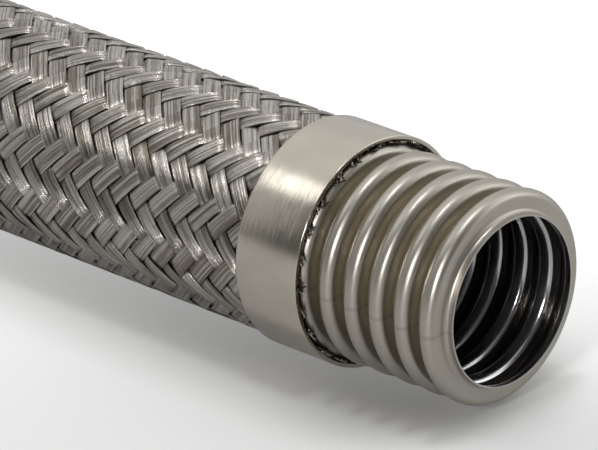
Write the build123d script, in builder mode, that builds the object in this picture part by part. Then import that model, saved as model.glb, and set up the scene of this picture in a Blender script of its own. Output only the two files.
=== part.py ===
"""Braided vacuum bellows hose: a corrugated steel tube inside a wire braid that two plain collars hold.

The hose lies along X with its middle at the origin and +Z up. Every length is in millimetres. The tube is one
thin wall of ring-shaped convolutions, cut off square in a root at each end. The braid is two sets of flat
ribbons, wound to opposite hands and plaited two over, two under.
"""

from build123d import *
import math
import os

# --- corrugated tube -------------------------------------------------------------------------------------
BORE_RADIUS = 20.95  # inside of the roots, the clear way through the hose
CONVOLUTION_HEIGHT = 5.8  # from the inside of a root to the outside of a crest
TUBE_WALL = 0.4
CONVOLUTIONS = 37  # crests from one cut end to the other
CONVOLUTION_PITCH = 8.0
CREST_WIDTH = 4.4  # outside, from flank to flank
CREST_ROUND = 1.9  # outside corner of a crest
ROOT_ROUND = 1.1  # outside corner of a root
CUT_LIP = 0.3  # straight wall left past the middle of the last root

# --- wire braid ------------------------------------------------------------------------------------------
RIBBON_PAIRS = 12  # ribbons of one hand are twice this, so that the plait closes around the tube
RIBBON_SPACING = 6.63  # between ribbons of one hand, along the hose
RIBBON_SHARE = 0.86  # ribbon's width over its spacing
RIBBON_THICKNESS = 0.5  # one layer of wires
RIBBON_SLACK = 0.04  # air between the two layers
GROOVE_DEPTH = 0.65  # from the top of a ribbon to the foot of the gap beside it
DIP = 0.42  # how far a ribbon has gone down where it passes under the next one
WEAVE_TURN = 22.85  # degrees about the hose, from +Y towards +Z
BRAID_FIT = 0.1  # between the crests and the braid
BRAID_SETBACK = 1.5  # from a collar's mouth to the cut ends of the wires

# --- collars ---------------------------------------------------------------------------------------------
COLLAR_LENGTH = 20.0
COLLAR_WALL = 1.1
COLLAR_FIT = 0.06  # between the braid and the collar
COLLAR_INSET = 43.0  # bare bellows between a cut end and the collar's mouth
ROLLED_EDGE = 0.9  # outside round of the edge that is rolled down on the braid
MOUTH_CHAMFER = 0.3
SEAM_TURN = 1.3  # degrees from the band's level line up to its closing seam

# --- worked out from the sizes above ---------------------------------------------------------------------
HALF_LENGTH = CONVOLUTIONS * CONVOLUTION_PITCH / 2 + CUT_LIP
CREST_RADIUS = BORE_RADIUS + CONVOLUTION_HEIGHT
MOUTH = HALF_LENGTH - COLLAR_INSET  # distance of each collar's mouth from the middle of the hose
COLLAR_BACK = MOUTH - COLLAR_LENGTH
BRAID_INSIDE = CREST_RADIUS + BRAID_FIT
BRAID_OUTSIDE = BRAID_INSIDE + 2 * RIBBON_THICKNESS + RIBBON_SLACK
COLLAR_INSIDE = BRAID_OUTSIDE + COLLAR_FIT
COLLAR_OUTSIDE = COLLAR_INSIDE + COLLAR_WALL


# --- corrugated tube -------------------------------------------------------------------------------------
def wave_corners(half_crest, foot, top):
    """Square corners of one side of the wall, as (x, radius), from the rear cut to the front cut."""
    corners = [(-HALF_LENGTH, foot)]
    for number in range(CONVOLUTIONS):
        middle = (number - (CONVOLUTIONS - 1) / 2) * CONVOLUTION_PITCH
        corners.append((middle - half_crest, foot))
        corners.append((middle - half_crest, top))
        corners.append((middle + half_crest, top))
        corners.append((middle + half_crest, foot))
    corners.append((HALF_LENGTH, foot))
    return corners


def build_corrugated_tube():
    """One turned wall: the outer and the inner wave, joined at the cuts and revolved about the hose."""
    largest_share = 0.45  # of the width that two rounds share
    crest_round = min(CREST_ROUND, largest_share * CREST_WIDTH)
    root_round = min(ROOT_ROUND, largest_share * (CONVOLUTION_PITCH - CREST_WIDTH))
    outer = wave_corners(CREST_WIDTH / 2, BORE_RADIUS + TUBE_WALL, CREST_RADIUS)
    inner = wave_corners(CREST_WIDTH / 2 - TUBE_WALL, BORE_RADIUS, CREST_RADIUS - TUBE_WALL)
    outer_rounds = [root_round, crest_round, crest_round, root_round] * CONVOLUTIONS
    inner_crest = crest_round - TUBE_WALL
    inner_root = root_round + TUBE_WALL
    inner_rounds = [inner_root, inner_crest, inner_crest, inner_root] * CONVOLUTIONS
    with BuildPart() as tube:
        with BuildSketch(Plane.XZ):
            with BuildLine():
                FilletPolyline(*outer, radius=outer_rounds)
                FilletPolyline(*inner, radius=inner_rounds)
                Line(outer[0], inner[0])
                Line(outer[-1], inner[-1])
            make_face()
        revolve(axis=Axis.X)
    return tube


# --- wire braid ------------------------------------------------------------------------------------------
# The weave is a lattice. Ribbons of the first hand are the lines a = 0, 1, 2 ..., and those of the second hand
# are the lines b = 0, 1, 2 ... A step of one in a or b turns a point by half the angle between two ribbons of
# one hand, and moves it along the hose by half their spacing: forwards with b, backwards with a.
RIBBONS = 2 * RIBBON_PAIRS
HALF_TURN = math.pi / RIBBONS
HALF_SPACING = RIBBON_SPACING / 2
GROOVE_FOOT = BRAID_OUTSIDE - GROOVE_DEPTH
LAST_RING = math.ceil(COLLAR_BACK / HALF_SPACING)  # rings of crossings from the middle to just under a collar
BRAID_END = MOUTH - BRAID_SETBACK
BRAID_BORE = BRAID_INSIDE / math.cos(HALF_TURN / 2)  # corners of a bore whose flats clear the crests


def ring_point(turn, x, radius):
    """Point at a turn, counted in half angles between ribbons, around the hose."""
    angle = turn * HALF_TURN + math.radians(WEAVE_TURN)
    return Vector(x, radius * math.cos(angle), radius * math.sin(angle))


def weave_point(a, b, radius):
    """Point of the lattice where line a of the first hand meets line b of the second hand."""
    return ring_point(a + b, (b - a) * HALF_SPACING, radius)


def flat_face(*corners):
    return Face(Wire.make_polygon(corners, close=True))


def twisted_quad(p, q, r, s):
    """Two triangles, because the four corners seldom lie in one plane."""
    return [flat_face(p, q, r), flat_face(p, r, s)]


def ribbon_float(line, first, count, first_hand):
    """Faces of one ribbon's stretch on top, over `count` ribbons of the other hand that start with `first`.

    The stretch is a low roof: a top that is highest over its middle and dips where it passes under its
    neighbours, with sides that fall to the foot of the gap all round.
    """
    inset = (1 - RIBBON_SHARE) / 2
    stations = range(count + 1)

    def corner(side, station, on_top):
        across = line + side * (0.5 - inset * on_top)
        inward = {0: inset, count: -inset}.get(station, 0) * on_top
        run = first - 0.5 + station + inward
        dip = DIP if station in (0, count) else 0
        radius = BRAID_OUTSIDE - dip if on_top else GROOVE_FOOT
        return weave_point(across, run, radius) if first_hand else weave_point(run, across, radius)

    foot = [corner(-1, s, False) for s in stations] + [corner(1, s, False) for s in reversed(stations)]
    top = [corner(-1, s, True) for s in stations] + [corner(1, s, True) for s in reversed(stations)]
    faces = []
    for k in range(len(foot)):
        following = (k + 1) % len(foot)
        faces += twisted_quad(foot[k], foot[following], top[following], top[k])
    for s in range(count):
        faces += twisted_quad(top[s], top[s + 1], top[-2 - s], top[-1 - s])
    return faces


def woven_faces():
    """Every float between the last rings, plaited two over, two under.

    A crossing's place in the plait is (a + b) modulo 4: the first hand is on top at 0 and 1, and the second
    hand at 2 and 3. A float whose second crossing lies past the last ring covers one crossing only.
    """
    faces = []
    for ring in range(-LAST_RING, LAST_RING + 1):
        for turn in range(ring % 2, 2 * RIBBONS, 2):
            a = (turn - ring) // 2
            b = (turn + ring) // 2
            first_hand = turn % 4 < 2
            starts = turn % 2 == 0
            step = 1 if first_hand else -1
            partner = ring + step if starts else ring - step
            alone = abs(partner) > LAST_RING
            if starts or alone:
                count = 1 if alone else 2
                faces += ribbon_float(a, b, count, True) if first_hand else ribbon_float(b, a, count, False)
    return faces


def end_faces(side):
    """Closing faces at one end: from the last ring's zigzag to the smooth land that the collar squeezes."""
    turns = range(2 * RIBBONS)
    land = side * (LAST_RING + 1) * HALF_SPACING
    foot_ring = [ring_point(t, land, GROOVE_FOOT) for t in turns]
    land_ring = [ring_point(t, land, BRAID_OUTSIDE) for t in turns]
    cut_ring = [ring_point(t, side * BRAID_END, BRAID_OUTSIDE) for t in turns]
    bore_ring = [ring_point(t, side * BRAID_END, BRAID_BORE) for t in turns]
    faces = [Face(Wire.make_polygon(cut_ring, close=True), [Wire.make_polygon(bore_ring, close=True)])]
    for t in turns:
        following = (t + 1) % len(turns)
        faces.append(flat_face(foot_ring[t], foot_ring[following], land_ring[following], land_ring[t]))
        faces.append(flat_face(land_ring[t], land_ring[following], cut_ring[following], cut_ring[t]))
        if (t - LAST_RING) % 2 == 1:
            notch = ring_point(t, side * LAST_RING * HALF_SPACING, GROOVE_FOOT)
            faces.append(flat_face(foot_ring[t - 1], notch, foot_ring[t]))
            faces.append(flat_face(foot_ring[t], notch, foot_ring[following]))
    return faces


def bore_faces():
    """Flats of the plain many-sided bore, each as long as the braid."""
    rear = [ring_point(t, -BRAID_END, BRAID_BORE) for t in range(2 * RIBBONS + 1)]
    front = [ring_point(t, BRAID_END, BRAID_BORE) for t in range(2 * RIBBONS + 1)]
    return [flat_face(rear[t], rear[t + 1], front[t + 1], front[t]) for t in range(2 * RIBBONS)]


def build_wire_braid():
    """One wall, with the woven relief outside."""
    with BuildPart() as braid:
        add(Solid(Shell(woven_faces() + end_faces(1) + end_faces(-1) + bore_faces())))
    return braid


# --- collars ---------------------------------------------------------------------------------------------
def build_collar(side):
    """Plain band at one end, with its mouth towards that end and its other edge rolled down on the braid."""
    seam = Vector(0, 1, 0).rotate(Axis.X, SEAM_TURN)
    with BuildPart() as collar:
        with BuildSketch(Plane((side * COLLAR_BACK, 0, 0), x_dir=seam, z_dir=(1, 0, 0))):
            Circle(COLLAR_OUTSIDE)
            Circle(COLLAR_INSIDE, mode=Mode.SUBTRACT)
        extrude(amount=side * COLLAR_LENGTH)
        rims = collar.edges().filter_by(GeomType.CIRCLE).group_by(Axis.X)
        rolled_rim, mouth_rim = (rims[0], rims[-1]) if side > 0 else (rims[-1], rims[0])
        outer_rolled = rolled_rim.sort_by(SortBy.RADIUS)[-1]
        fillet(outer_rolled, radius=min(ROLLED_EDGE, 0.9 * COLLAR_WALL))
        chamfer(mouth_rim, length=min(MOUTH_CHAMFER, 0.4 * COLLAR_WALL))
    return collar


# --- export ----------------------------------------------------------------------------------------------
os.makedirs("parts", exist_ok=True)

corrugated_tube = build_corrugated_tube()
corrugated_tube.part.label = "corrugated_tube"
export_step(corrugated_tube.part, "parts/corrugated_tube.step")

wire_braid = build_wire_braid()
wire_braid.part.label = "wire_braid"
export_step(wire_braid.part, "parts/wire_braid.step", write_pcurves=False)

front_collar = build_collar(1)
front_collar.part.label = "front_collar"
export_step(front_collar.part, "parts/front_collar.step")

rear_collar = build_collar(-1)
rear_collar.part.label = "rear_collar"
export_step(rear_collar.part, "parts/rear_collar.step")
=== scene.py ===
"""Studio scene of a braided vacuum bellows hose: corrugated steel tube, plaited wire braid and two collars.

The hose lies along X with its middle at the origin. A turn about the hose is measured from +Y towards +Z.
Every length is in metres, and every angle in the named sizes is in degrees.
"""
import logging
import math
from dataclasses import dataclass, field
from enum import Enum

import bpy
import numpy as np
from mathutils import Matrix, Vector


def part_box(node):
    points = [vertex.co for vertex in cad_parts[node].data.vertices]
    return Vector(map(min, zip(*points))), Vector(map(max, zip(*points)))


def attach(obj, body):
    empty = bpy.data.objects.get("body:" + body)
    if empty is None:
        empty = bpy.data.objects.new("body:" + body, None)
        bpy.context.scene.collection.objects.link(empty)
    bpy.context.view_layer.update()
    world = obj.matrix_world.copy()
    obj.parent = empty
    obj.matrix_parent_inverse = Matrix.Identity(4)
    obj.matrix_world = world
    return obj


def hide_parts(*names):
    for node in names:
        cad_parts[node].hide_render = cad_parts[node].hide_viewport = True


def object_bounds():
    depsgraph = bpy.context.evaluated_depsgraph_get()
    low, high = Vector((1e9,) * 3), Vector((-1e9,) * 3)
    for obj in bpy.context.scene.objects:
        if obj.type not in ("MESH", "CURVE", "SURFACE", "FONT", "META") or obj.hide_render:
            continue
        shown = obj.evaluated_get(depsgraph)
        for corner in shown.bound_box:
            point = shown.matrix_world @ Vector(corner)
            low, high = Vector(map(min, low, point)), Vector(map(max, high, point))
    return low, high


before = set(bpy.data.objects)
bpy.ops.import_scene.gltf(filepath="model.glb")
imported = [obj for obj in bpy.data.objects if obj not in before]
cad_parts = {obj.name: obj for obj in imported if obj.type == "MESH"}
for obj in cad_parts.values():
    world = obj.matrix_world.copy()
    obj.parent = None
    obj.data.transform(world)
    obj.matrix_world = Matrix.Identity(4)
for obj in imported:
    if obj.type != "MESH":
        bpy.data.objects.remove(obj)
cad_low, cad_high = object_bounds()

MM = 0.001
SHARP_ANGLE = 40.0
BRAID_FIT = 0.1 * MM

log = logging.getLogger("bellows_hose")


class Slot(Enum):
    """Material slots of the record."""

    TUBE = "tube_steel"
    BRAID = "braid_wire"
    COLLAR = "collar_steel"


class Hand(Enum):
    """Which way a ribbon winds round the hose."""

    FIRST = 1
    SECOND = -1


# --- shader maths ------------------------------------------------------------------------------------------
class Level:
    """A number that nodes work out, so that shader maths reads as a Python expression."""

    def __init__(self, graph: "Graph", socket: bpy.types.NodeSocket) -> None:
        """Wraps an output socket of the graph."""
        self.graph = graph
        self.socket = socket

    def __add__(self, other: "Level | float") -> "Level":
        """Sum."""
        return self.graph.math("ADD", self, other)

    __radd__ = __add__

    def __sub__(self, other: "Level | float") -> "Level":
        """Difference."""
        return self.graph.math("SUBTRACT", self, other)

    def __rsub__(self, other: float) -> "Level":
        """Difference from a plain number."""
        return self.graph.math("SUBTRACT", other, self)

    def __mul__(self, other: "Level | float") -> "Level":
        """Product."""
        return self.graph.math("MULTIPLY", self, other)

    __rmul__ = __mul__

    def __truediv__(self, other: "Level | float") -> "Level":
        """Quotient."""
        return self.graph.math("DIVIDE", self, other)

    def __pow__(self, other: "Level | float") -> "Level":
        """Power."""
        return self.graph.math("POWER", self, other)

    def __abs__(self) -> "Level":
        """Size without its sign."""
        return self.graph.math("ABSOLUTE", self)

    def fraction(self) -> "Level":
        """Part after the decimal point."""
        return self.graph.math("FRACT", self)

    def whole(self) -> "Level":
        """Whole number below."""
        return self.graph.math("FLOOR", self)

    def ease(self, start: float, end: float) -> "Level":
        """Rises smoothly from 0 to 1.

        Args:
            start: value at which it leaves 0.
            end: value at which it reaches 1.

        Returns:
            The eased number.
        """
        settings = {"interpolation_type": "SMOOTHSTEP"}
        inputs = {"Value": self, "From Min": start, "From Max": end}
        return Level(self.graph, self.graph.node("ShaderNodeMapRange", settings, inputs).outputs["Result"])


class Graph:
    """Node tree of a material or of the world."""

    def __init__(self, owner: bpy.types.Material | bpy.types.World) -> None:
        """Empties the owner's node tree and keeps it."""
        owner.use_nodes = True
        self.owner = owner
        self.tree = owner.node_tree
        self.tree.nodes.clear()

    def node(self, kind: str, settings: dict | None = None, inputs: dict | None = None) -> bpy.types.Node:
        """Adds one node.

        Args:
            kind: node type.
            settings: values of its own properties, set first.
            inputs: values or links of its sockets, by name or number.

        Returns:
            The node.
        """
        made = self.tree.nodes.new(kind)
        for name, value in (settings or {}).items():
            setattr(made, name, value)
        for name, value in (inputs or {}).items():
            socket = made.inputs[name]
            source = value.socket if isinstance(value, Level) else value
            if isinstance(source, bpy.types.NodeSocket):
                self.tree.links.new(source, socket)
            else:
                socket.default_value = source
        return made

    def math(self, operation: str, *values: "Level | float") -> Level:
        """One Math node on the given values."""
        made = self.node("ShaderNodeMath", {"operation": operation}, dict(enumerate(values)))
        return Level(self, made.outputs[0])

    def split(self, vector: bpy.types.NodeSocket) -> tuple[Level, Level, Level]:
        """X, Y and Z of a vector."""
        made = self.node("ShaderNodeSeparateXYZ", inputs={0: vector})
        return tuple(Level(self, made.outputs[k]) for k in range(3))

    def join(self, x: Level | float, y: Level | float, z: Level | float) -> bpy.types.NodeSocket:
        """Vector from three numbers."""
        return self.node("ShaderNodeCombineXYZ", inputs={0: x, 1: y, 2: z}).outputs[0]

    def blend(self, share: Level | float, low: object, high: object) -> bpy.types.NodeSocket:
        """Mix of two colours; a share of 1 gives the second."""
        made = self.node("ShaderNodeMix", {"data_type": "RGBA"}, {"Factor": share, 6: low, 7: high})
        return made.outputs[2]

    def noise(self, place: bpy.types.NodeSocket, detail: float = 2.0) -> Level:
        """Soft noise around 0.5 with features about one unit wide at the given place."""
        made = self.node("ShaderNodeTexNoise", inputs={"Vector": place, "Scale": 1.0, "Detail": detail})
        return Level(self, made.outputs["Fac"])

    def chance(self, place: bpy.types.NodeSocket) -> Level:
        """Random number from 0 to 1, the same over each whole place."""
        made = self.node("ShaderNodeTexWhiteNoise", {"noise_dimensions": "3D"}, {"Vector": place})
        return Level(self, made.outputs["Value"])

    def tilted_along(self, amount: Level) -> bpy.types.NodeSocket:
        """Surface normal turned towards the hose's length by a small varying amount, in radians."""
        normal = self.node("ShaderNodeNewGeometry").outputs["Normal"]
        push = self.join(amount, 0.0, 0.0)
        leaning = self.node("ShaderNodeVectorMath", {"operation": "ADD"}, {0: normal, 1: push})
        even = self.node("ShaderNodeVectorMath", {"operation": "NORMALIZE"}, {0: leaning.outputs[0]})
        return even.outputs[0]

    def finish(self, shader: bpy.types.NodeSocket) -> None:
        """Links a shader to the output."""
        is_world = isinstance(self.owner, bpy.types.World)
        kind = "ShaderNodeOutputWorld" if is_world else "ShaderNodeOutputMaterial"
        self.node(kind, inputs={"Surface": shader})


def grey(level: float) -> tuple:
    """Neutral colour."""
    return (level, level, level, 1.0)


def new_graph(name: str) -> tuple[bpy.types.Material, Graph]:
    """New material and the graph of its nodes."""
    material = bpy.data.materials.new(name)
    return material, Graph(material)


@dataclass(frozen=True)
class Around:
    """Places on the hose that a finish reads from Object coordinates."""

    along: Level
    radius: Level
    turn: Level

    @classmethod
    def of(cls, graph: Graph) -> "Around":
        """Works out the place along the hose, the distance from its axis and the turn about it in radians."""
        coordinates = graph.node("ShaderNodeTexCoord").outputs["Object"]
        x, y, z = graph.split(coordinates)
        radius = (y * y + z * z) ** 0.5
        return cls(x, radius, graph.math("ARCTAN2", z, y))


# --- finishes ----------------------------------------------------------------------------------------------
@dataclass(frozen=True)
class BraidFinish:
    """Flat ribbons of bright drawn wire, lying side by side.

    The ribbon's UV map counts ribbons and the share across one in U, and crossings along it in V.
    """

    outside: float
    wires: int = 11
    bright: tuple = (0.60, 0.575, 0.54, 1.0)
    dull: tuple = (0.16, 0.134, 0.10, 1.0)
    # dark colour of the painted shade at wire edges and in sunk places
    painted_gap_shade: tuple = (0.05, 0.04, 0.03, 1.0)
    grooves: int = 7
    roughness: float = 0.14
    wire_lean: float = 0.14
    lean: float = 0.66
    mix: tuple = (0.35, 0.15, 0.40, 0.10)
    spread: tuple = (0.24, 0.76)
    valley_start: float = 0.70
    valley_shade_share: float = 0.4
    sunk_depth: tuple = (0.26 * MM, 0.58 * MM)
    sunk_shade_share: float = 0.8

    def material(self) -> bpy.types.Material:
        """Round wires: the normal leans across each wire as it does on a rod.

        A wire's brightness mixes a draw for the wire, one for the wire in this float, a streak along it and
        one for the whole float. Painted shade darkens the edges of each wire and the places deep under the
        outermost radius, where ribbons dive and part.
        """
        material, graph = new_graph("drawn_wire")
        uv = graph.node("ShaderNodeUVMap", {"uv_map": "ribbon"}).outputs[0]
        u, v, _ = graph.split(uv)
        across = u.fraction() * self.wires
        ribbon = u.whole()
        wire = across.whole()
        side = across.fraction() * 2.0 - 1.0
        crossing = (v * 0.5).whole()
        each = graph.chance(graph.join(wire, ribbon, 0.5))
        each_float = graph.chance(graph.join(wire + 40.0, ribbon, crossing))
        streak = graph.noise(graph.join(ribbon * 7.0 + across * 2.3, v * 1.2, 0.0), 1.0)
        groove = (across * self.grooves).fraction() * 2.0 - 1.0
        lean = side * self.wire_lean + groove * self.lean
        upright = graph.math("SQRT", graph.math("MAXIMUM", 1.0 - lean * lean, 0.04))
        tint = graph.join(0.5 + lean * 0.5, 0.5, 0.5 + upright * 0.5)
        normal = graph.node("ShaderNodeNormalMap", {"uv_map": "ribbon"}, {"Strength": 1.0, "Color": tint})
        valley = abs(side).ease(self.valley_start, 1.0)
        whole_float = graph.chance(graph.join(90.0, ribbon, crossing))
        of_wire, of_float_wire, of_streak, of_float = self.mix
        mixed = each * of_wire + each_float * of_float_wire + streak * of_streak + whole_float * of_float
        shade = graph.blend(mixed.ease(*self.spread), self.dull, self.bright)
        depth = self.outside - Around.of(graph).radius
        # painted shade: the edges of each wire and places sunk under the outermost radius blend towards a
        # dark colour
        wire_shaded = graph.blend(valley * self.valley_shade_share, shade, self.painted_gap_shade)
        colour = graph.blend(depth.ease(*self.sunk_depth) * self.sunk_shade_share, wire_shaded, self.painted_gap_shade)
        rough = self.roughness + whole_float * 0.08 + each_float * 0.05 + valley * 0.2
        shader = graph.node(
            "ShaderNodeBsdfPrincipled",
            inputs={"Base Color": colour, "Metallic": 1.0, "Roughness": rough, "Normal": normal.outputs[0]},
        )
        graph.finish(shader.outputs[0])
        return material


@dataclass(frozen=True)
class TubeFinish:
    """Formed thin steel: bright crests, straw-brown roots outside, polished rings in the bore and painted
    shade in its pockets.
    """

    root_radius: float
    crest_radius: float
    last_crest: float
    crest: tuple = (0.42, 0.395, 0.35, 1.0)
    flank: tuple = (0.50, 0.47, 0.40, 1.0)
    root: tuple = (0.42, 0.375, 0.295, 1.0)
    bore: tuple = (0.48, 0.48, 0.49, 1.0)
    pocket_shade: tuple = (0.26, 0.24, 0.22, 1.0)
    weld: tuple = (0.22, 0.20, 0.17, 1.0)
    weld_turn: float = 184.0
    weld_edge: tuple = (0.008, 0.028)
    weld_share: float = 0.3
    face_start: float = 0.8 * MM
    mark_count: float = 9000.0
    roughness: float = 0.32
    bore_roughness: float = 0.17

    def material(self) -> bpy.types.Material:
        """Tint by distance from the axis, fine rings of tool marks, one faint seam and painted shade in bore
        pockets.
        """
        material, graph = new_graph("formed_steel")
        place = Around.of(graph)
        height = (place.radius - self.root_radius) / (self.crest_radius - self.root_radius)
        fine = self.mark_count
        marks = graph.noise(graph.join(place.along * fine, place.turn * 1.5, place.radius * fine), 1.0)
        smoke = graph.noise(graph.join(place.along * 160.0, place.turn * 2.5, place.radius * 160.0), 3.0)
        bare_face = abs(place.along).ease(self.last_crest, self.last_crest + self.face_start)
        rise = height + (1.0 - height) * bare_face
        lower = graph.blend(rise.ease(0.02, 0.50), self.root, self.flank)
        upper = graph.blend(rise.ease(0.45, 0.88) * (0.75 + smoke * 0.4), lower, self.crest)
        seam = abs(place.turn - math.radians(self.weld_turn - 360.0))
        welded = graph.blend((1.0 - seam.ease(*self.weld_edge)) * self.weld_share, upper, self.weld)
        inside, _, _ = graph.split(graph.node("ShaderNodeUVMap", {"uv_map": "wall"}).outputs[0])
        # painted shade: inside the bore, the pockets away from the axis darken
        bore_shaded = graph.blend(height.ease(0.10, 0.55), self.bore, self.pocket_shade)
        colour = graph.blend(inside, welded, bore_shaded)
        outside_rough = self.roughness + marks * 0.10 + smoke * 0.06
        inside_rough = self.bore_roughness + smoke * 0.06
        normal = graph.tilted_along((marks - 0.5) * (0.5 - 0.4 * inside))
        shader = graph.node(
            "ShaderNodeBsdfPrincipled",
            inputs={
                "Base Color": colour,
                "Metallic": 1.0,
                "Roughness": outside_rough * (1.0 - inside) + inside_rough * inside,
                "Normal": normal,
            },
        )
        graph.finish(shader.outputs[0])
        return material


@dataclass(frozen=True)
class BandFinish:
    """Satin stainless band, brushed round the hose."""

    light: tuple = (0.55, 0.515, 0.445, 1.0)
    dark: tuple = (0.45, 0.415, 0.355, 1.0)
    roughness: float = 0.20
    brushing: float = 0.40
    line_count: float = 16000.0

    def material(self) -> bpy.types.Material:
        """Short brush lines round the band, with soft clouds and a few handling smudges."""
        material, graph = new_graph("satin_band")
        place = Around.of(graph)
        fine = self.line_count
        lines = graph.noise(graph.join(place.along * fine, place.turn * 6.0, place.radius * fine), 2.0)
        clouds = graph.noise(graph.join(place.along * 90.0, place.turn * 3.0, 3.0), 3.0)
        smudge = graph.noise(graph.join(place.along * 260.0, place.turn * 7.0, 9.0), 2.0)
        shade = (clouds - 0.5) * 1.2 + (lines - 0.5) * 0.5 + 0.6
        colour = graph.blend(graph.math("MINIMUM", shade, 1.0), self.dark, self.light)
        normal = graph.tilted_along((lines - 0.5) * self.brushing)
        shader = graph.node(
            "ShaderNodeBsdfPrincipled",
            inputs={
                "Base Color": colour,
                "Metallic": 1.0,
                "Roughness": self.roughness + lines * 0.06 + smudge.ease(0.50, 0.85) * 0.05,
                "Normal": normal,
            },
        )
        graph.finish(shader.outputs[0])
        return material


# --- meshes ------------------------------------------------------------------------------------------------
@dataclass
class Grid:
    """Vertices, quads and UVs of one or more parametric surfaces, gathered into one mesh."""

    points: list[np.ndarray] = field(default_factory=list)
    quads: list[np.ndarray] = field(default_factory=list)
    uvs: list[np.ndarray] = field(default_factory=list)
    count: int = 0

    def add(self, surface: np.ndarray, uv: np.ndarray, close_rows: bool = False) -> None:
        """Adds a grid of points as quads, by rows and then columns, with its last column joined to its first.

        Args:
            surface: array of shape (rows, columns, 3).
            uv: array of shape (rows, columns, 2).
            close_rows: the last row joins the first.
        """
        rows, columns = surface.shape[:2]
        number = np.arange(rows * columns).reshape(rows, columns) + self.count
        row = np.arange(rows if close_rows else rows - 1)
        column = np.arange(columns)
        r, c = np.meshgrid(row, column, indexing="ij")
        r2, c2 = (r + 1) % rows, (c + 1) % columns
        quad = np.stack([number[r, c], number[r, c2], number[r2, c2], number[r2, c]], axis=-1)
        self.points.append(surface.reshape(-1, 3))
        self.uvs.append(uv.reshape(-1, 2))
        self.quads.append(quad.reshape(-1, 4))
        self.count += rows * columns

    def cap(self, ring: np.ndarray) -> None:
        """Closes a short ring of vertex numbers, an even count, with quads between its two halves."""
        half = len(ring) // 2
        near, far = ring[:half], ring[::-1][:half]
        quad = np.stack([near[:-1], near[1:], far[1:], far[:-1]], axis=-1)
        self.quads.append(quad)

    def build(self, name: str, uv_name: str | None = None) -> bpy.types.Object:
        """Makes the object.

        Args:
            name: piece's name.
            uv_name: name of its UV map, or None for no map.

        Returns:
            A smooth shaded object at the origin with its place in its mesh.
        """
        mesh = bpy.data.meshes.new(name)
        points, quads = np.concatenate(self.points), np.concatenate(self.quads)
        mesh.from_pydata(points, [], quads)
        if uv_name:
            layer = mesh.uv_layers.new(name=uv_name)
            corner = np.empty(len(mesh.loops), dtype=np.int32)
            mesh.loops.foreach_get("vertex_index", corner)
            layer.data.foreach_set("uv", np.concatenate(self.uvs)[corner].astype(np.float32).ravel())
        mesh.polygons.foreach_set("use_smooth", np.ones(len(mesh.polygons), dtype=bool))
        mesh.set_sharp_from_angle(angle=math.radians(SHARP_ANGLE))
        piece = bpy.data.objects.new(name, mesh)
        bpy.context.scene.collection.objects.link(piece)
        return piece


def dress(piece: bpy.types.Object, node: str, material: bpy.types.Material) -> None:
    """Gives a piece its body and its finish, and hides the CAD node that it stands for.

    Args:
        piece: the object.
        node: CAD node that it replaces.
        material: finish.
    """
    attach(piece, "root")
    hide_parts(node)
    piece.data.materials.append(material)
    log.info("%s: %d faces, stands for %s", piece.name, len(piece.data.polygons), node)


def rounded(corners: np.ndarray, radii: np.ndarray, steps: int) -> np.ndarray:
    """Outline whose corners are rounded by arcs.

    Each arc's centre lies on the corner's bisector, one radius from both sides. The arc's points turn evenly
    from the first tangent point to the second, and a corner of radius 0 keeps its single point.

    Args:
        corners: closed outline, shape (n, 2).
        radii: round of each corner.
        steps: pieces of each arc.

    Returns:
        Points of the rounded outline, shape (m, 2).
    """
    back = np.roll(corners, 1, axis=0) - corners
    ahead = np.roll(corners, -1, axis=0) - corners
    back /= np.linalg.norm(back, axis=1, keepdims=True)
    ahead /= np.linalg.norm(ahead, axis=1, keepdims=True)
    half = np.arccos(np.clip((back * ahead).sum(axis=1), -1, 1)) / 2
    half = np.maximum(half, 1e-6)
    middle = back + ahead
    middle /= np.maximum(np.linalg.norm(middle, axis=1, keepdims=True), 1e-9)
    centre = corners + middle * (radii / np.sin(half))[:, None]
    turn = np.sign(back[:, 0] * ahead[:, 1] - back[:, 1] * ahead[:, 0])
    sweep = turn * (math.pi - 2 * half)
    share = np.linspace(-0.5, 0.5, steps + 1)
    angle = -sweep[:, None] * share[None, :]
    cosine, sine = np.cos(angle), np.sin(angle)
    spoke = -middle * radii[:, None]
    x = centre[:, 0, None] + spoke[:, 0, None] * cosine - spoke[:, 1, None] * sine
    y = centre[:, 1, None] + spoke[:, 0, None] * sine + spoke[:, 1, None] * cosine
    arcs = np.stack([x, y], axis=-1)
    kept = [arc if radius > 0 else arc[:1] for arc, radius in zip(arcs, radii)]
    return np.concatenate(kept)


def turned(outline: np.ndarray, sectors: int) -> np.ndarray:
    """Closed outline of (x, radius) carried once round the hose.

    A point at turn t is (x, radius cos t, radius sin t).

    Args:
        outline: shape (n, 2), anticlockwise when x runs right and the radius runs up.
        sectors: facets round the hose.

    Returns:
        Array of shape (sectors, n, 3).
    """
    turn = np.linspace(0, 2 * math.pi, sectors, endpoint=False)[:, None]
    x = np.broadcast_to(outline[None, :, 0], (sectors, len(outline)))
    return np.stack([x, outline[None, :, 1] * np.cos(turn), outline[None, :, 1] * np.sin(turn)], axis=-1)


def revolve(name: str, outline: np.ndarray, sectors: int, inside: int = 0) -> bpy.types.Object:
    """Object turned from a closed outline.

    Args:
        name: piece's name.
        outline: closed outline of (x, radius).
        sectors: facets round the hose.
        inside: how many of the outline's first points face the axis. U of the map "wall" is 1 on them.

    Returns:
        The object.
    """
    grid = Grid()
    surface = turned(outline, sectors)
    wall = np.zeros(surface.shape[:2] + (2,))
    wall[:, :inside, 0] = 1.0
    grid.add(surface, wall, close_rows=True)
    return grid.build(name, "wall")


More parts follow.
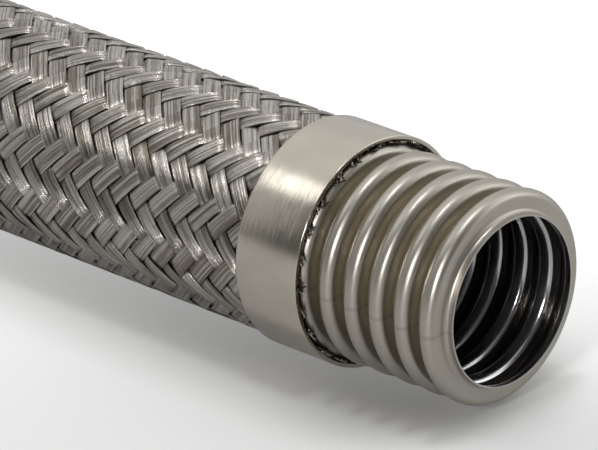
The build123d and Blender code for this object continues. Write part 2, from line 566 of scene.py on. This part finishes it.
# --- sub-assemblies ----------------------------------------------------------------------------------------
@dataclass
class CorrugatedTube:
    """Thin wall of ring-shaped convolutions, in three lengths that meet in roots under the braid."""

    half_length: float
    crest_radius: float
    convolutions: int = 37
    pitch: float = 8.0 * MM
    height: float = 5.8 * MM
    wall: float = 0.4 * MM
    crest_width: float = 4.4 * MM
    crest_round: float = 1.9 * MM
    root_round: float = 1.1 * MM
    bare: int = 7
    seen_detail: tuple = (144, 5)
    covered_detail: tuple = (96, 2)
    node: str = "corrugated_tube"

    def side(
        self, first: int, last: int, half_crest: float, foot: float, top: float, ends: tuple
    ) -> np.ndarray:
        """Square corners of one side of the wall, over convolutions first to last.

        Args:
            first: number of the first convolution, from the rear.
            last: number of the last convolution.
            half_crest: half of the crest's width on this side.
            foot: radius of the roots on this side.
            top: radius of the crests on this side.
            ends: x of the two ends.

        Returns:
            Array of (x, radius), shape (4 n + 2, 2).
        """
        middle = (np.arange(first, last + 1) - (self.convolutions - 1) / 2) * self.pitch
        x = middle[:, None] + half_crest * np.array([-1, -1, 1, 1])[None, :]
        radius = np.broadcast_to(np.array([foot, top, top, foot]), x.shape)
        wave = np.stack([x, radius], axis=-1).reshape(-1, 2)
        return np.concatenate([[(ends[0], foot)], wave, [(ends[1], foot)]])

    def build_length(self, name: str, first: int, last: int, sectors: int, steps: int) -> bpy.types.Object:
        """One length of the tube.

        The outline is the outer wave from front to rear and the inner wave back again, both with rounded
        corners, and it is turned about the hose.

        Args:
            name: piece's name.
            first: number of its first convolution.
            last: number of its last convolution.
            sectors: facets round the hose.
            steps: pieces of each round.

        Returns:
            The object.
        """
        count = last - first + 1
        edge = (np.array([first, last + 1]) - self.convolutions / 2) * self.pitch
        lip = self.half_length - self.convolutions * self.pitch / 2
        ends = (edge[0] - lip * (first == 0), edge[1] + lip * (last == self.convolutions - 1))
        root = self.crest_radius - self.height
        crest, half_crest = self.crest_radius, self.crest_width / 2
        outer = self.side(first, last, half_crest, root + self.wall, crest, ends)
        inner = self.side(first, last, half_crest - self.wall, root, crest - self.wall, ends)
        outer_wave = [self.root_round, self.crest_round, self.crest_round, self.root_round]
        deep, tight = self.root_round + self.wall, self.crest_round - self.wall
        outer_round = [0.0] + outer_wave * count + [0.0]
        inner_round = [0.0] + [deep, tight, tight, deep] * count + [0.0]
        corners = np.concatenate([inner, outer[::-1]])
        outline = rounded(corners, np.array(inner_round + outer_round[::-1]), steps)
        return revolve(name, outline, sectors, inside=2 + 4 * count * (steps + 1))

    def build(self, finish: TubeFinish) -> None:
        """Builds and dresses the three lengths. The middle one, which the braid covers, has less detail."""
        material = finish.material()
        last = self.convolutions - 1
        lengths = {
            "tube_rear_length": (0, self.bare - 1, self.seen_detail),
            "tube_middle_length": (self.bare, last - self.bare, self.covered_detail),
            "tube_front_length": (last - self.bare + 1, last, self.seen_detail),
        }
        for name, (first, final, (sectors, steps)) in lengths.items():
            piece = self.build_length(name, first, final, sectors, steps)
            dress(piece, self.node, material)


@dataclass
class WireBraid:
    """Two sets of flat ribbons wound to opposite hands and plaited two over, two under.

    Ribbons of the first hand are the lines a = 0, 1, 2 ..., and those of the second hand are the lines b.
    A point (a, b) of this lattice has the turn (a + b) times half the angle between two ribbons of one hand,
    and lies (b - a) times half their spacing along the hose.
    """

    half_length: float
    outside: float
    inside: float
    ribbons: int = 24
    spacing: float = 6.63 * MM
    share: float = 0.87
    thickness: float = 0.44 * MM
    edge_drop: float = 0.07 * MM
    weave_turn: float = 24.05
    weave_shift: float = 0.9 * MM
    steps: int = 8
    top_columns: int = 6
    flat_share: float = 0.65
    steepness: float = 3.8
    loose_wires: int = 8
    wire_radius: float = 0.2 * MM
    wire_reach: tuple = (0.6 * MM, 2.3 * MM)
    wire_splay: float = 0.05
    float_roll: float = 0.06
    float_rise_mm: float = 0.03
    roll_arm: float = 0.35
    middle_drop: float = 0.02 * MM
    wander: float = 0.02
    seed: int = 7
    node: str = "wire_braid"

    @property
    def half_turn(self) -> float:
        """Half the angle between two ribbons of one hand."""
        return math.pi / self.ribbons

    def wave(self, phase: np.ndarray) -> np.ndarray:
        """Height of a ribbon along its run, from -1 under to 1 over.

        A steep hyperbolic tangent of a sine that takes four crossings gives flat floats with short dives, and
        a share of the plain sine arches each float a little.
        """
        sine = np.sin(math.pi / 2 * (phase + 0.5))
        steep = np.tanh(self.steepness * sine) / math.tanh(self.steepness)
        return self.flat_share * steep + (1 - self.flat_share) * sine

    def lattice(self, a: np.ndarray, b: np.ndarray, radius: np.ndarray) -> np.ndarray:
        """Points of the lattice at a radius."""
        turn = (a + b) * self.half_turn + math.radians(self.weave_turn)
        x = np.broadcast_to((b - a) * self.spacing / 2 + self.weave_shift, radius.shape)
        return np.stack([x, radius * np.cos(turn), radius * np.sin(turn)], axis=-1)

    def ribbon(self, grid: Grid, hand: Hand, line: int, chance: np.random.Generator) -> None:
        """Adds one ribbon from end to end of the braid.

        Across the ribbon, its section is a low crown above and a flat below. Along it, the middle's radius is
        the mean of the two layers plus the wave times half their distance. Every float is turned a little
        about its own run, and the ribbon wanders a little sideways.

        Args:
            grid: mesh under way.
            hand: which set the ribbon belongs to.
            line: number of the ribbon in its set.
            chance: source of the small differences.
        """
        reach = self.half_length / (self.spacing / 2)
        skew = self.weave_shift / (self.spacing / 2)
        run = np.linspace(-reach, reach, int(2 * reach * self.steps) + 1)[:, None] - skew
        other = run + line if hand is Hand.FIRST else line - run
        knots = np.arange(-2, int(2 * reach) + 4)
        way = run[:, 0] + reach
        roll = np.interp(way, knots, chance.normal(0, self.float_roll, len(knots)))[:, None]
        rise = np.interp(way, knots, chance.normal(0, self.float_rise_mm, len(knots)))[:, None] * MM
        wander = self.wander * np.sin(run * chance.uniform(0.15, 0.4) + chance.uniform(0, 6.28))
        top = np.linspace(-1, 1, self.top_columns)
        below = np.linspace(1, -1, self.top_columns - 2)
        across = np.concatenate([top, below])[None, :]
        is_top = np.concatenate([np.ones(len(top)), np.zeros(len(below))])[None, :]
        crown = -self.edge_drop * across**2 * is_top
        layer = (self.outside - self.inside - self.thickness) / 2
        height = self.wave(line + other) * (1 if hand is Hand.FIRST else -1) * layer
        middle = (self.outside + self.inside) / 2 - self.middle_drop
        radius = middle + height + rise + crown + (is_top - 0.5) * self.thickness
        radius = radius + roll * across * self.spacing * self.roll_arm
        radius = np.clip(radius, self.inside, self.outside)
        offset = line + across * self.share / 2 + wander
        other = np.broadcast_to(other, radius.shape)
        a, b = (offset, other) if hand is Hand.FIRST else (other, offset)
        surface = self.lattice(a, b, radius)
        number = line + (self.ribbons if hand is Hand.SECOND else 0)
        u = number + np.clip((across + 1) / 2, 0.001, 0.999)
        uv = np.stack([np.broadcast_to(u, radius.shape), np.broadcast_to(run + reach, radius.shape)], axis=-1)
        start = grid.count
        columns = across.shape[1]
        grid.add(surface, uv)
        first_ring = start + np.arange(columns)
        last_ring = grid.count - columns + np.arange(columns)
        grid.cap(first_ring[::-1])
        grid.cap(last_ring)

    def cut_ends(self, grid: Grid, hand: Hand, line: int, chance: np.random.Generator) -> None:
        """Adds the cut ends of one ribbon's wires, which stand on a little past both ends of the braid.

        Each wire is a six-sided rod through three points. Its middle follows the ribbon's line, and its
        distance from the axis grows with the square of the way along it, so that the tip flares.

        Args:
            grid: mesh under way.
            hand: which set the ribbon belongs to.
            line: number of the ribbon in its set.
            chance: source of the small differences.
        """
        step = self.spacing / 2
        way = np.array([-0.4, 0.4, 1.0])
        sides = 6
        around = np.linspace(0, 2 * math.pi, sides, endpoint=False)
        number = line + (self.ribbons if hand is Hand.SECOND else 0)
        for end in (-1, 1):
            for across in np.linspace(-1, 1, self.loose_wires):
                length = chance.uniform(*self.wire_reach)
                run = (end * (self.half_length + way * length) - self.weave_shift) / step
                other = run + line if hand is Hand.FIRST else line - run
                own = np.full(3, line + across * self.share / 2) + chance.normal(0, self.wire_splay) * way
                low, high = self.inside + self.wire_radius, self.outside - self.wire_radius
                start = chance.uniform(low, high - 0.2 * MM)
                radius = start + (high - start) * chance.uniform(0, 1) * np.clip(way, 0, 1) ** 2
                a, b = (own, other) if hand is Hand.FIRST else (other, own)
                middle = self.lattice(a, b, radius)
                ahead = (middle[2] - middle[0]) / np.linalg.norm(middle[2] - middle[0])
                outward = np.array([0.0, middle[1, 1], middle[1, 2]]) / radius[1]
                sideways = np.cross(ahead, outward)
                spoke = np.cos(around)[:, None] * outward + np.sin(around)[:, None] * sideways
                surface = middle[:, None, :] + self.wire_radius * spoke[None, :, :]
                share = number + (across * 0.45 + 0.5)
                first = grid.count
                grid.add(surface, np.full(surface.shape[:2] + (2,), share))
                grid.cap(first + np.arange(sides)[::-1])
                grid.cap(grid.count - sides + np.arange(sides))

    def build(self, finish: BraidFinish) -> None:
        """Builds and dresses the ribbons, twelve to a piece, and the cut ends of their wires."""
        material = finish.material()
        chance = np.random.default_rng(self.seed)
        half = self.ribbons // 2
        for hand, word in ((Hand.FIRST, "right"), (Hand.SECOND, "left")):
            for part, lines in enumerate((range(half), range(half, self.ribbons)), start=1):
                grid = Grid()
                for line in lines:
                    self.ribbon(grid, hand, line, chance)
                piece = grid.build(f"braid_{word}_hand_{part}", "ribbon")
                dress(piece, self.node, material)
        grid = Grid()
        for hand in Hand:
            for line in range(self.ribbons):
                self.cut_ends(grid, hand, line, chance)
        dress(grid.build("cut_wire_ends", "ribbon"), self.node, material)


@dataclass
class Collar:
    """Plain band with a lightly rounded mouth and a rolled edge."""

    name: str
    node: str
    back: float
    mouth: float
    outside: float
    wall: float = 1.1 * MM
    rolled_edge: float = 0.9 * MM
    mouth_round: float = 0.22 * MM
    inner_round: float = 0.1 * MM
    round_steps: int = 6
    sectors: int = 192

    def build(self, finish: bpy.types.Material) -> None:
        """Turns the band's rounded section about the hose and dresses it."""
        inside = self.outside - self.wall
        x = [self.back, self.mouth, self.mouth, self.back]
        radius = [inside, inside, self.outside, self.outside]
        corners = np.stack([x, radius], axis=-1)
        radii = np.array([self.inner_round, self.mouth_round, self.mouth_round, self.rolled_edge])
        if self.mouth < self.back:
            corners, radii = corners[::-1], radii[::-1]
        piece = revolve(self.name, rounded(corners, radii, self.round_steps), self.sectors)
        dress(piece, self.node, finish)


# --- studio ------------------------------------------------------------------------------------------------
@dataclass(frozen=True)
class Patch:
    """Round patch of the room's light, full within its inner angle in degrees and gone past the outer one."""

    towards: tuple
    inner: float
    outer: float
    colour: tuple


@dataclass(frozen=True)
class Lamp:
    """Soft flat light: where it hangs, its length and width, which way its length runs and its radiance."""

    name: str
    towards: tuple
    length: float
    width: float
    run: tuple
    radiance: float


@dataclass
class Studio:
    """White table, a grey room with lighter and darker patches, and three soft round lights.

    Camera rays see the table with a painted shadow beneath the hose, fading to plain white behind it.
    """

    floor: float
    table_half: float = 6.0
    lamp_distance: float = 1.5
    lamp_aim: tuple = (0.08, 0.0, 0.0)
    table_colour: tuple = grey(0.56)
    table_roughness: float = 0.6
    painted_shadow_colour: tuple = (0.27, 0.265, 0.255, 1.0)
    open_colour: tuple = grey(0.74)
    painted_shadow_end: float = 0.115
    painted_shadow_reach: tuple = (0.014, 0.052)
    fade_slope: tuple = (0.69, 0.72)
    fade_reach: tuple = (-0.16, 0.12)
    fade_colour: tuple = grey(0.7)
    room: tuple = grey(0.252)
    patches: tuple = (
        Patch((-0.20, 0.95, 0.25), 20, 75, grey(0.756)),
        Patch((-0.65, 0.17, 0.74), 15, 40, grey(0.936)),
        Patch((0.05, 0.05, 1.0), 12, 30, grey(0.72)),
        Patch((0.65, 0.72, 0.25), 8, 22, grey(2.448)),
        Patch((0.37, 0.59, 0.72), 8, 24, grey(1.584)),
        Patch((0.05, -0.62, 0.78), 10, 28, grey(0.072)),
        Patch((0.09, -0.98, 0.17), 30, 62, (0.043, 0.04, 0.036, 1.0)),
        Patch((0.90, -0.25, 0.35), 20, 45, grey(0.086)),
        Patch((-0.75, -0.50, 0.35), 8, 24, grey(0.612)),
    )
    lamps: tuple = (
        Lamp("key_light", (-0.60, -0.375, 0.708), 0.46, 0.42, (0.26, -0.11, 0.12), 2.7),
        Lamp("top_light", (0.0, -0.03, 1.0), 0.30, 0.30, (1.0, 0.0, 0.0), 24.0),
        Lamp("side_light", (0.35, -0.85, 0.42), 0.30, 0.30, (1.0, 0.0, 0.0), 55.0),
    )

    def build_floor(self) -> None:
        """Wide white table just under the hose."""
        signs = ((-1, -1), (1, -1), (1, 1), (-1, 1))
        corners = [(x * self.table_half, y * self.table_half, self.floor) for x, y in signs]
        mesh = bpy.data.meshes.new("table_top")
        mesh.from_pydata(corners, [], [(0, 1, 2, 3)])
        table = bpy.data.objects.new("table_top", mesh)
        bpy.context.scene.collection.objects.link(table)
        material, graph = new_graph("white_table")
        plain = {"Base Color": self.table_colour, "Roughness": self.table_roughness}
        lit = graph.node("ShaderNodeBsdfPrincipled", inputs=plain)
        x, y, _ = graph.split(graph.node("ShaderNodeTexCoord").outputs["Object"])
        # painted shadow: camera rays see the table darker near the hose's footprint, ending past its front
        # end
        past = graph.math("MAXIMUM", x - self.painted_shadow_end, 0.0)
        gone = (y * y + past * past) ** 0.5
        painted_shadow_tone = graph.blend(gone.ease(*self.painted_shadow_reach), self.painted_shadow_colour, self.open_colour)
        toned = {"Base Color": painted_shadow_tone, "Roughness": self.table_roughness}
        shown = graph.node("ShaderNodeBsdfPrincipled", inputs=toned)
        away = y * self.fade_slope[1] - x * self.fade_slope[0]
        white = graph.blend(away.ease(*self.fade_reach), (0.0, 0.0, 0.0, 1.0), self.fade_colour)
        glow = graph.node("ShaderNodeEmission", inputs={"Color": white, "Strength": 1.0})
        total = graph.node("ShaderNodeAddShader", inputs={0: shown.outputs[0], 1: glow.outputs[0]})
        seen = graph.node("ShaderNodeLightPath").outputs["Is Camera Ray"]
        pick = graph.node("ShaderNodeMixShader", inputs={0: seen, 1: lit.outputs[0], 2: total.outputs[0]})
        graph.finish(pick.outputs[0])
        mesh.materials.append(material)

    def build_room(self) -> None:
        """World light: the room's own grey with each patch blended over it in turn."""
        world = bpy.data.worlds.new("studio_room")
        bpy.context.scene.world = world
        graph = Graph(world)
        direction = graph.node("ShaderNodeTexCoord").outputs["Generated"]

        def patch(towards: tuple, inner: float, outer: float) -> Level:
            """Soft round patch, 1 within the inner angle of a direction and 0 past the outer angle."""
            aim = Vector(towards).normalized()
            made = graph.node("ShaderNodeVectorMath", {"operation": "DOT_PRODUCT"}, {0: direction, 1: aim})
            near = Level(graph, made.outputs["Value"])
            return near.ease(math.cos(math.radians(outer)), math.cos(math.radians(inner)))

        colour = self.room
        for area in self.patches:
            colour = graph.blend(patch(area.towards, area.inner, area.outer), colour, area.colour)
        background = graph.node("ShaderNodeBackground", inputs={"Color": colour, "Strength": 1.0})
        graph.finish(background.outputs[0])

    def build_lamp(self, lamp: Lamp) -> None:
        """Hangs one light at its distance from the hose's front half, facing it and unseen by the camera."""
        data = bpy.data.lights.new(lamp.name, "AREA")
        data.shape = "ELLIPSE"
        data.size = lamp.length
        data.size_y = lamp.width
        data.energy = lamp.radiance * math.pi * math.pi * lamp.length * lamp.width / 4
        aim = Vector(lamp.towards).normalized()
        side = aim.cross(Vector(lamp.run)).normalized()
        light = bpy.data.objects.new(lamp.name, data)
        turned_to = Matrix((side.cross(aim), side, aim)).transposed().to_4x4()
        place = Vector(self.lamp_aim) + aim * self.lamp_distance
        light.matrix_world = Matrix.Translation(place) @ turned_to
        light.visible_camera = False
        bpy.context.scene.collection.objects.link(light)

    def build(self) -> None:
        """Builds the table, the room and the lights."""
        self.build_floor()
        self.build_room()
        for lamp in self.lamps:
            self.build_lamp(lamp)


@dataclass(frozen=True)
class Viewpoint:
    """Camera in front of the front cut, beside the hose and above it."""

    place: tuple = (0.90195, -0.87302, 0.51135)
    azimuth: float = 43.3
    elevation: float = 23.11
    lens: float = 322.6

    def build(self) -> None:
        """Makes the scene's camera, with its picture's up along the vertical."""
        turn, rise = math.radians(self.azimuth), math.radians(self.elevation)
        back = Vector((math.sin(turn) * math.cos(rise), -math.cos(turn) * math.cos(rise), math.sin(rise)))
        data = bpy.data.cameras.new("camera")
        data.lens = self.lens
        data.clip_start = 0.01
        data.clip_end = 50.0
        camera = bpy.data.objects.new("camera", data)
        camera.rotation_mode = "QUATERNION"
        camera.rotation_quaternion = back.to_track_quat("Z", "Y")
        camera.location = Vector(self.place)
        bpy.context.scene.collection.objects.link(camera)
        bpy.context.scene.camera = camera


def main() -> None:
    """Builds the tube, the braid, the collars and the studio, and reports each piece."""
    logging.basicConfig(level=logging.INFO, format="%(name)s: %(message)s")
    tube_low, tube_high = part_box("corrugated_tube")
    braid_low, braid_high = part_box("wire_braid")
    collar_low, collar_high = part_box("front_collar")
    crest = tube_high.y
    tube = CorrugatedTube(half_length=tube_high.x, crest_radius=crest)
    last_crest = (tube.convolutions - 1) / 2 * tube.pitch
    tube.build(TubeFinish(root_radius=crest - tube.height, crest_radius=crest, last_crest=last_crest))
    braid = WireBraid(half_length=braid_high.x, outside=braid_high.y, inside=crest + BRAID_FIT)
    braid.build(BraidFinish(outside=braid.outside))
    satin = BandFinish().material()
    sizes = {"back": collar_low.x, "mouth": collar_high.x, "outside": collar_high.y}
    Collar("front_band", "front_collar", **sizes).build(satin)
    mirrored = {"back": -collar_low.x, "mouth": -collar_high.x, "outside": collar_high.y}
    Collar("rear_band", "rear_collar", **mirrored).build(satin)
    Studio(floor=cad_low.z).build()
    Viewpoint().build()
    bpy.context.scene.view_settings.view_transform = "Standard"


if __name__ == "__main__":
    main()
